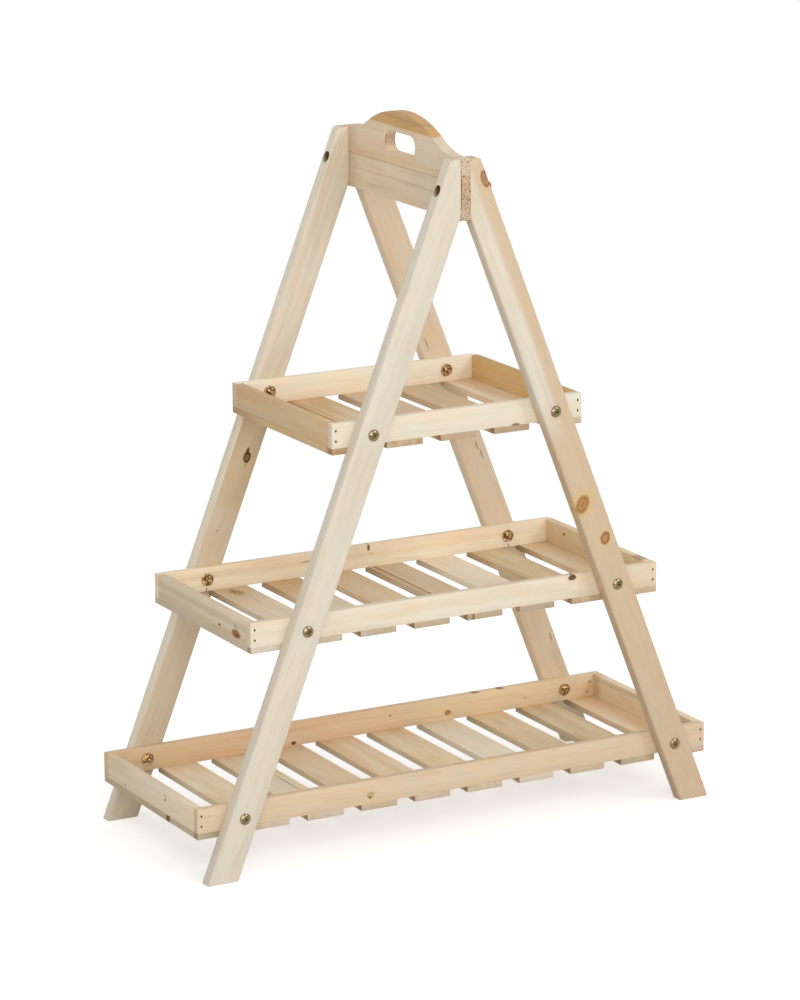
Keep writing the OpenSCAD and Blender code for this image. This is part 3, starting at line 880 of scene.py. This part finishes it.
class StandTrayFrames(bpy.types.Operator):
    """Models the rails and end boards of the three trays, with their bores and nail holes"""
    bl_idname = "plant_stand.tray_frames"
    bl_label = "Tray rails and ends"

    def execute(self, context):
        ease = context.scene.tray_sizes.ease
        sizes = context.scene.hardware_sizes
        for name, look in RAIL_LOOKS.items():
            rail = planed(name, ease)
            low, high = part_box(name)
            middle = (low.z + high.z) / 2
            bolts = [Matrix.Translation((leg_centre(context.scene.leg_sizes, side, middle), low.y, middle))
                     @ Matrix.Rotation(math.pi / 2, 4, "X") for side in (LEFT, RIGHT)]
            bore(rail, bolts, sizes.bolt + CLEARANCE, 20 * MM)
            bore(rail, corner_nail_places(name, 0), sizes.nail_head + 0.2 * MM, 1.4 * MM)
            leave(rail)
            # Painted shade round each corner nail, where its head sits sunk
            out = ((high.x - low.x) / 2 - CORNER_IN) / MM
            nails = [(up * CORNER_GAP / 2 / MM, end * out, 2.4, 1.1, 0.6)
                     for up in (-1, 1) for end in (-1, 1)]
            look = dict(look, marks=look.get("marks", []) + nails)
            wood = sanded_fir(name, "rail", middle_of(name), pith=(24, 30), **look)
            settle(rail, wood, "rail_timber", name)
        for name, look in END_LOOKS.items():
            wood = sanded_fir(name, "end", middle_of(name), pith=(24, 30), **look)
            settle(planed(name, ease), wood, "end_board_timber", name)
        return {"FINISHED"}


class StandSlats(bpy.types.Operator):
    """Models the slats, each of its own piece of fir"""
    bl_idname = "plant_stand.slats"
    bl_label = "Slats"

    def execute(self, context):
        ease = context.scene.tray_sizes.ease
        for tray in TRAYS:
            for number, shades in enumerate(SLAT_LOOKS[tray], 1):
                name = f"{tray}_tray_slat_{number}"
                chance = random.Random(name)
                base, blend_in, light = shades.split()
                look = dict(base=base, blend=blend_in, light=float(light), streaky=0.7,
                            end_tone=(0.72, 0.69, 0.7),
                            ring=chance.uniform(6, 11), lines=chance.uniform(0.12, 0.35),
                            # The rough sides get painted shade, deeper towards the back rail
                            sides=(60, 130, chance.uniform(0.3, 0.65)),
                            pith=(chance.uniform(-30, 30), chance.choice((-1, 1)) * chance.uniform(14, 45)),
                            tilt=(chance.uniform(-0.03, 0.03), chance.uniform(-0.04, 0.04)),
                            seed=chance.randint(30, 90))
                look.update(SLAT_MARKS.get(name, {}))
                wood = sanded_fir(name, "slat", middle_of(name), **look)
                settle(planed(name, ease), wood, "slat_timber", name)
        return {"FINISHED"}


# ---------------------------------------------------------------- hardware

def tray_bolt_places(reach):
    """Where each tray bolt's head seats, with +Z pointing out of the head; reach moves it inwards."""
    sizes = bpy.context.scene.leg_sizes
    chance = random.Random("tray bolts")
    places = []
    for tray in TRAYS:
        level = middle_of(tray + "_tray_front_rail").z
        for face in (FRONT, BACK):
            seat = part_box(leg_name(LEFT, face))[0 if face == FRONT else 1].y
            for side in (LEFT, RIGHT):
                turn = Matrix.Rotation(-face * math.pi / 2, 4, "X")
                spin = Matrix.Rotation(chance.uniform(0, math.pi), 4, "Z")
                spot = Vector((leg_centre(sizes, side, level), seat - face * reach, level))
                places.append(Matrix.Translation(spot) @ turn @ spin)
    return places


def handle_bolt_places(seat):
    """The two handle bolts, with +Z pointing out of the head, to the left; seat is how far right they sit."""
    chance = random.Random("handle bolts")
    places = []
    for face in (FRONT, BACK):
        across = middle_of(leg_name(LEFT, face)).y
        turn = Matrix.Rotation(-math.pi / 2, 4, "Y")
        spin = Matrix.Rotation(chance.uniform(0, math.pi), 4, "Z")
        places.append(Matrix.Translation((seat, across, middle_of("handle_bolts").z)) @ turn @ spin)
    return places


def model_bolt(name, sizes, head_width, length):
    """A domed bolt, seat at the origin and head upwards: grooved head, hexagon socket, threaded end."""
    shank, rim, rise, pitch = sizes.bolt / 2, head_width / 2, sizes.head_height, sizes.thread_pitch
    step = rise / 4     # height of the head's rim
    dome = (rim * rim + (rise - step) ** 2) / (2 * (rise - step))
    tip, threaded = 0.9 * MM, 16 * MM
    profile = [(0, -length), (shank * 0.72, -length), (shank, -length + tip)]
    height = -length + tip
    while height < -length + threaded:
        profile += [(shank * 0.86, height + 0.5 * pitch), (shank, height + pitch)]
        height += pitch
    profile += [(shank, 0), (rim * 0.93, 0), (rim, step * 0.35), (rim, step * 0.8),
                (rim * 0.975, step * 1.05)]
    # Up the dome; a pressed groove rings the raised middle
    groove = 0.5 * rim
    for out in (0.9, 0.8, 0.7, 0.62, 0.56, 0.5, 0.44, 0.38, 0.2, 0.0):
        out *= rim * 0.975
        dip = 0.45 * MM if abs(out - groove) < 0.03 * rim else 0
        profile.append((out, rise - dome + math.sqrt(dome * dome - out * out) - dip))
    bolt = turned(name, profile)
    cut_away(bolt, fresh("cylinder", vertices=6, radius=sizes.socket / 2 / math.cos(math.pi / 6),
                         depth=2 * sizes.socket_depth, location=(0, 0, rise)))

    # Painted shade in the threads, the socket, under the rim and in the groove
    def oil_and_shade(out, up):
        if up < 0:
            return 0.6 if out < shank * 0.9 and up > -length + 0.5 * MM else 0.0
        if out < 0.35 * rim:
            return 0.55 if up < rise - 0.4 * MM else 0.2
        if up < step * 0.5:
            return 0.7
        return 1.0 if abs(out - groove) < 0.03 * rim else 0.0

    return shade_crevices(leave(bolt, 30), oil_and_shade)


def model_nut(name, sizes):
    """A hexagon nut standing on the origin, its corners turned off at both faces, with a chamfered bore."""
    height, flat = sizes.nut_height, sizes.nut / 2
    corner = flat / math.cos(math.pi / 6)
    wide, drop = corner * 1.05, (corner - flat) * 0.9
    nut = fresh("cylinder", name, vertices=6, radius=corner, depth=height, location=(0, 0, height / 2))
    cut_away(nut, turned("nut chamfer", [(0, 0), (flat * 0.97, 0), (wide, drop), (wide, height - drop),
                                         (flat * 0.97, height), (0, height)], 48), "INTERSECT")
    hole, cone = sizes.bolt / 2, 0.6 * MM
    mouth = hole * 1.2
    cut_away(nut, turned("flare", [(0, -MM), (mouth, -MM), (mouth, 0), (hole, cone), (hole, height - cone),
                                   (mouth, height), (mouth, height + MM), (0, height + MM)], 32))
    # Painted shade in the bore and on the face that sits on the washer
    return shade_crevices(leave(nut, 30), lambda out, up: 1.0 if out < hole * 1.25 or up < 0.05 * MM else 0.0)


def model_washer(name, sizes, width):
    """A punched washer standing on the origin, with a soft upper edge."""
    outer, inner, thick = width / 2, sizes.bolt / 2 + 0.25 * MM, sizes.washer_thickness
    profile = [(inner, 0), (outer - 0.1 * MM, 0), (outer, 0.2 * MM), (outer, thick - 0.5 * MM),
               (outer - 0.15 * MM, thick - 0.15 * MM), (outer - 0.5 * MM, thick),
               (inner + 0.2 * MM, thick), (inner, thick - 0.2 * MM), (inner, 0)]
    # Painted shade round the bore and along the lower edge that meets the wood
    return shade_crevices(turned(name, profile), lambda out, up: 1.0 if out < inner * 1.05 or up < 0.3 * MM else 0.0)


def model_nail(name, sizes):
    """The head and the start of a brad, top of the head at the origin."""
    head, shank = sizes.nail_head / 2, sizes.nail / 2
    return turned(name, [(0, -3 * MM), (shank, -3 * MM), (shank, -0.6 * MM), (head, -0.4 * MM),
                         (head, -0.15 * MM), (head * 0.8, 0), (0, 0)], 8)


def fasten(pattern, name, node, places, steel, slot):
    """Copies a bolt, washer, nut or nail to all its places, where it takes over from its CAD node."""
    if "washer" in node or "nut" in node:
        # These are modelled standing up, and lie on the far side of the seat from the head
        pattern.data.transform(Matrix.Rotation(math.pi, 4, "X"))
    return settle(copies(pattern, name, places), steel, slot, node)


class StandTrayHardware(bpy.types.Operator):
    """Models the bolts, washers and nuts that hold the trays to the legs"""
    bl_idname = "plant_stand.tray_hardware"
    bl_label = "Tray bolts"

    def execute(self, context):
        sizes = context.scene.hardware_sizes
        colours = context.scene.hardware_colours
        zinc = zinc_plated("zinc_plated_bolt_steel", colours.zinc, colours.brass, 0.14)
        copper = zinc_plated("yellow_passivated_nut_steel", colours.gold, colours.copper, 0.17)
        length = 40 * MM
        bolts = fasten(model_bolt("tray bolt", sizes, sizes.tray_head, length), "tray_bolts_plated",
                       "tray_bolts", tray_bolt_places(0), zinc, "bolt_steel")
        # Their tips, past the nuts, take the nuts' lighter plating as a painted highlight
        bolts.data.materials.append(copper)
        past_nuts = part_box("tray_bolts")[1].y - sizes.head_height - 0.85 * length
        for face in bolts.data.polygons:
            if abs(face.center.y) < past_nuts:
                face.material_index = 1
        inside = sum(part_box(node)[1].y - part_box(node)[0].y
                     for node in ("front_left_leg", "top_tray_front_rail"))
        fasten(model_washer("tray washer", sizes, sizes.tray_washer), "tray_washers_plated",
               "tray_washers", tray_bolt_places(inside), copper, "nut_steel")
        fasten(model_nut("tray nut", sizes), "tray_nuts_plated",
               "tray_nuts", tray_bolt_places(inside + sizes.washer_thickness), copper, "nut_steel")
        return {"FINISHED"}


class StandHandleHardware(bpy.types.Operator):
    """Models the long bolts, washers and nuts that draw the legs onto the handle board"""
    bl_idname = "plant_stand.handle_hardware"
    bl_label = "Handle bolts"

    def execute(self, context):
        sizes = context.scene.hardware_sizes
        colours = context.scene.hardware_colours
        zinc = zinc_plated("zinc_plated_handle_bolt_steel", colours.zinc, colours.brass, 0.14)
        low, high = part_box("handle_bolts")
        seat = low.x + sizes.head_height
        fasten(model_bolt("handle bolt", sizes, sizes.handle_head, high.x - seat), "handle_bolts_plated",
               "handle_bolts", handle_bolt_places(seat), zinc, "bolt_steel")
        fasten(model_washer("handle washer", sizes, sizes.handle_washer), "handle_washers_plated",
               "handle_washers", handle_bolt_places(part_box("handle_washers")[0].x), zinc, "nut_steel")
        fasten(model_nut("handle nut", sizes), "handle_nuts_plated",
               "handle_nuts", handle_bolt_places(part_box("handle_nuts")[0].x), zinc, "nut_steel")
        return {"FINISHED"}


class StandNails(bpy.types.Operator):
    """Models the brads in the tray corners and under the slats"""
    bl_idname = "plant_stand.nails"
    bl_label = "Nails"

    def execute(self, context):
        sizes = context.scene.hardware_sizes
        colours = context.scene.hardware_colours
        steel = zinc_plated("dull_nail_steel", colours.nail, colours.shade, 0.5)
        corners = [place for rail in RAIL_LOOKS for place in corner_nail_places(rail, NAIL_SUNK)]
        fasten(model_nail("corner nail", sizes), "corner_nails_driven", "corner_nails", corners, steel,
               "nail_steel")
        # Under the slats the heads stand a touch proud
        under = []
        for tray in TRAYS:
            for number in range(1, len(SLAT_LOOKS[tray]) + 1):
                low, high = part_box(f"{tray}_tray_slat_{number}")
                for across in (-SLAT_NAIL_GAP / 2, SLAT_NAIL_GAP / 2):
                    for rail in ("front", "back"):
                        spot = ((low.x + high.x) / 2 + across, middle_of(f"{tray}_tray_{rail}_rail").y,
                                low.z - 0.1 * MM)
                        under.append(Matrix.Translation(spot) @ Matrix.Rotation(math.pi, 4, "X"))
        fasten(model_nail("slat nail", sizes), "slat_nails_driven", "slat_nails", under, steel,
               "nail_steel")
        return {"FINISHED"}


# ---------------------------------------------------------------- studio

FLOOR_WHITE = (1.45, 1.45, 1.45, 1)     # brighter than paint, so the camera sees the lit floor as white
FLOOR_GLOW = 0.5        # how much of the floor the camera sees as lit backdrop, so its shadow stays light
FLOOR_RADIUS = 2.6      # metres, as are the lengths below
FLOOR_FADE = (1.2, 2.4)  # from the middle, where the floor starts and ends its fade into the backdrop
# Each lamp's place and width
LAMPS = {"key": ((-2.3, -6.4, 2.6), 5.6), "fill": ((3.6, -5.2, 4.6), 2.2)}
LIT_POINT = (0, 0, 0.45)


def seen_directly(add):
    """1 for camera, mirror and glass rays, and 0 for the rays that light the object."""
    path = add("LightPath").node.outputs
    seen = add("Math", path["Is Camera Ray"], path["Is Glossy Ray"], operation="MAXIMUM")
    return add("Math", seen, path["Is Transmission Ray"], operation="MAXIMUM")


def floor_paint(colour):
    """Matt paint that fades into the backdrop towards the floor's rim."""
    material, add = begin_material("matt_floor_paint")
    seen = seen_directly(add)
    matt = add("BsdfDiffuse", Color=add("Mix", seen, (*colour, 1), FLOOR_WHITE, **COLOURS))
    glow = add("Emission", Color=(1, 1, 1, 1), Strength=1.0)
    matt = add("MixShader", add("Math", seen, FLOOR_GLOW, operation="MULTIPLY"), matt, glow)
    away = add("VectorMath", add("TexCoord", out="Object"), operation="LENGTH")
    fade = add("MapRange", away, *FLOOR_FADE, **SMOOTH)
    add("OutputMaterial", Surface=add("MixShader", fade, matt, add("BsdfTransparent")))
    return material


class StandStudio(bpy.types.Operator):
    """Sets up the pale floor, the soft lamps and the camera"""
    bl_idname = "plant_stand.studio"
    bl_label = "Studio"

    def execute(self, context):
        scene = context.scene
        studio = scene.studio_settings
        scene.view_settings.view_transform = "Standard"

        # Even light all round; camera, mirror and glass rays see the white backdrop instead
        world = scene.world = bpy.data.worlds.new("studio")
        world.use_nodes = True
        world.node_tree.nodes.clear()
        add = functools.partial(add_node, world.node_tree)
        strength = add("MapRange", seen_directly(add), 0.0, 1.0, studio.ambient, 1.0)
        add("OutputWorld", Surface=add("Background", Color=(1, 1, 1, 1), Strength=strength))

        floor = fresh("circle", "studio_floor", vertices=96, radius=FLOOR_RADIUS, fill_type="NGON")
        floor.data.materials.append(floor_paint(studio.floor))

        for name, (spot, width) in LAMPS.items():
            bpy.ops.object.light_add(type="AREA", location=spot)
            lamp = context.object
            lamp.name = name + "_lamp"
            lamp.data.shape = "DISK"
            lamp.data.size = width
            lamp.data.energy = getattr(studio, name)
            lamp.rotation_euler = (Vector(LIT_POINT) - Vector(spot)).to_track_quat("-Z", "Y").to_euler()

        azimuth, elevation, roll = studio.azimuth, studio.elevation, studio.roll
        back = Vector((math.sin(azimuth) * math.cos(elevation), -math.cos(azimuth) * math.cos(elevation),
                       math.sin(elevation)))
        right = Vector((0, 0, 1)).cross(back).normalized()
        up = back.cross(right)
        right, up = (math.cos(roll) * right + math.sin(roll) * up,
                     math.cos(roll) * up - math.sin(roll) * right)
        bpy.ops.object.camera_add()
        camera = context.object
        camera.name = "photo_camera"
        camera.matrix_world = Matrix.Translation(Vector(studio.aim) + studio.distance * back) @ Matrix(
            (right, up, back)).transposed().to_4x4()
        camera.data.sensor_fit = "VERTICAL"
        camera.data.sensor_height = 36
        camera.data.lens = studio.lens
        camera.data.clip_start = 0.1
        camera.data.clip_end = 100
        scene.camera = camera
        return {"FINISHED"}


# ---------------------------------------------------------------- add-on

GROUPS = {
    "leg_sizes": LegSizes,
    "handle_sizes": HandleSizes,
    "tray_sizes": TraySizes,
    "hardware_sizes": HardwareSizes,
    "fir_colours": FirColours,
    "hardware_colours": HardwareColours,
    "studio_settings": StudioSettings,
}
STEPS = (StandLegs, StandHandleBoard, StandTrayFrames, StandSlats, StandTrayHardware,
         StandHandleHardware, StandNails, StandStudio)


class StandPanel(bpy.types.Panel):
    """Lists the steps that build the stand, and its sizes and colours"""
    bl_idname = "VIEW3D_PT_plant_stand"
    bl_label = "Plant Ladder Stand"
    bl_space_type = "VIEW_3D"
    bl_region_type = "UI"
    bl_category = "Plant Stand"

    def draw(self, context):
        for step in STEPS:
            self.layout.operator(step.bl_idname)
        for group in GROUPS:
            settings = getattr(context.scene, group)
            box = self.layout.box()
            for name in own_fields(settings):
                box.prop(settings, name)


def register():
    for group, kind in GROUPS.items():
        bpy.utils.register_class(kind)
        setattr(bpy.types.Scene, group, bpy.props.PointerProperty(type=kind))
    for kind in (*STEPS, StandPanel):
        bpy.utils.register_class(kind)


def unregister():
    for kind in (StandPanel, *reversed(STEPS)):
        bpy.utils.unregister_class(kind)
    for group, kind in reversed(GROUPS.items()):
        delattr(bpy.types.Scene, group)
        bpy.utils.unregister_class(kind)


def main():
    register()
    bpy.ops.plant_stand.legs()
    bpy.ops.plant_stand.handle_board()
    bpy.ops.plant_stand.tray_frames()
    bpy.ops.plant_stand.slats()
    bpy.ops.plant_stand.tray_hardware()
    bpy.ops.plant_stand.handle_hardware()
    bpy.ops.plant_stand.nails()
    bpy.ops.plant_stand.studio()


if __name__ == "__main__":
    main()
